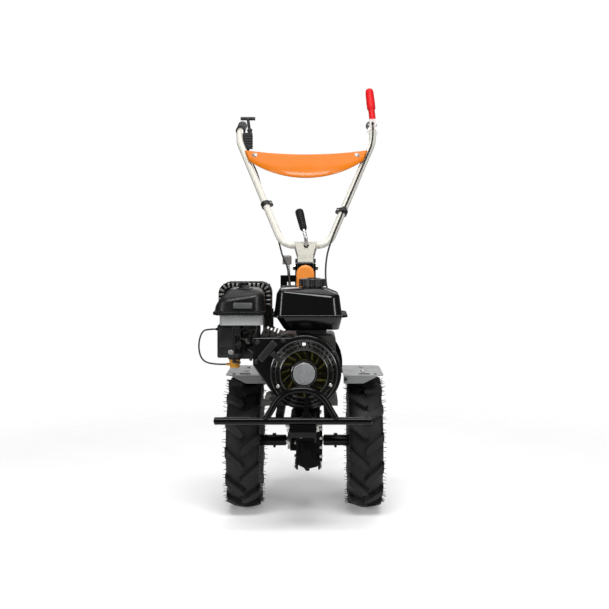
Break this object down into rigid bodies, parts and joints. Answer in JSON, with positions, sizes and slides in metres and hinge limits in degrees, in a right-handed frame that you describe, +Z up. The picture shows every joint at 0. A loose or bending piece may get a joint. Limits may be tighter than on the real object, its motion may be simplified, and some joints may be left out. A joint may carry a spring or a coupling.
{
  "type": "walk-behind two-wheel tractor",
  "caption": "Walk-behind farm tractor: front petrol engine over a tube bumper, gear case, lugged wheels, silver fenders, rear hitch with depth stake and a high forked handlebar.",
  "frame": {"origin": "on the ground, under the middle of the machine's length and width", "axes": "+Z up, +Y backwards towards the grips, +X to the driver's left"},
  "size_m": [0.5728, 1.164, 1.404],
  "materials": {
    "tyre": "matte moulded rubber",
    "rim_paint": "satin paint on pressed steel",
    "black_casting": "black paint on rough casting",
    "black_paint": "gloss black powder coat",
    "bright_steel": "zinc plated",
    "silver_paint": "silver-grey paint on sheet",
    "cast_aluminium": "raw die casting",
    "engine_black": "gloss black enamel on thin sheet",
    "badge_silver": "bare round plate",
    "black_plastic": "moulded black",
    "tank_black": "gloss black tank, empty",
    "charcoal_plastic": "satin charcoal",
    "grey_plastic": "light grey translucent",
    "amber_plastic": "amber cup",
    "hose_rubber": "thin black hose",
    "muffler_steel": "dull pressed sheet, a hollow can drawn solid",
    "orange_paint": "gloss orange enamel",
    "cream_paint": "gloss cream enamel",
    "grip_rubber": "ribbed black",
    "red_plastic": "red sleeve",
    "chrome": "plated rod",
    "cable_black": "sheathed control cable"
  },
  "bodies": {
    "chassis": {"final_drive": "black_casting", "gear_case": "black_casting", "clutch_bell": "black_casting", "bearing_retainers": "bright_steel", "clutch_arm": "bright_steel", "hitch": "black_paint", "stake_holder": "black_paint", "depth_stake": "black_paint", "stake_pin": "bright_steel", "bumper_bar": "black_paint", "bumper_arch": "black_paint", "engine_rails": "black_paint", "bumper_mount": "black_paint", "fender_left": "silver_paint", "fender_right": "silver_paint", "engine_block": "cast_aluminium", "flywheel_fan": "cast_aluminium", "carburettor": "cast_aluminium", "blower_housing": "engine_black", "recoil_cover": "engine_black", "recoil_badge": "badge_silver", "pull_handle": "black_plastic", "fuel_tank": "tank_black", "fuel_cap": "black_plastic", "air_cleaner_cover": "charcoal_plastic", "air_cleaner_base": "grey_plastic", "carburettor_cover": "black_plastic", "fuel_tap": "amber_plastic", "vent_hose": "hose_rubber", "muffler": "muffler_steel", "muffler_guard": "engine_black", "handlebar_base": "black_paint", "pivot_bolt": "bright_steel", "base_cover": "orange_paint", "shift_gate": "black_paint", "range_lever": "bright_steel", "range_knob": "grey_plastic"},
    "wheel_left": {"tyre_left": "tyre", "rim_left": "rim_paint", "hub_left": "black_paint", "half_shaft_left": "bright_steel"},
    "wheel_right": {"tyre_right": "tyre", "rim_right": "rim_paint", "hub_right": "black_paint", "half_shaft_right": "bright_steel"},
    "handlebar": {"handlebar_tube": "cream_paint", "column": "cream_paint", "grips": "grip_rubber", "dash_panel": "orange_paint", "clutch_bracket": "bright_steel", "clutch_lever": "bright_steel", "clutch_sleeve": "red_plastic", "throttle_base": "black_plastic", "throttle_lever": "black_plastic", "gear_lever": "chrome", "gear_lever_grip": "grip_rubber", "clutch_cable": "cable_black", "throttle_cable": "cable_black", "cable_clips": "black_plastic"}
  },
  "joints": [
    {"name": "wheel_left_spin", "type": "hinge", "parent": "chassis", "child": "wheel_left", "pos_m": [0, -0.18151, 0.205], "axis": [1, 0, 0], "continuous": true},
    {"name": "wheel_right_spin", "type": "hinge", "parent": "chassis", "child": "wheel_right", "pos_m": [0, -0.18151, 0.205], "axis": [1, 0, 0], "continuous": true},
    {"name": "handlebar_tilt", "type": "hinge", "parent": "chassis", "child": "handlebar", "pos_m": [0, 0.05349, 0.745], "axis": [-1, 0, 0], "range_deg": [-6, 30], "deforming": ["clutch_cable", "throttle_cable"]}
  ]
}
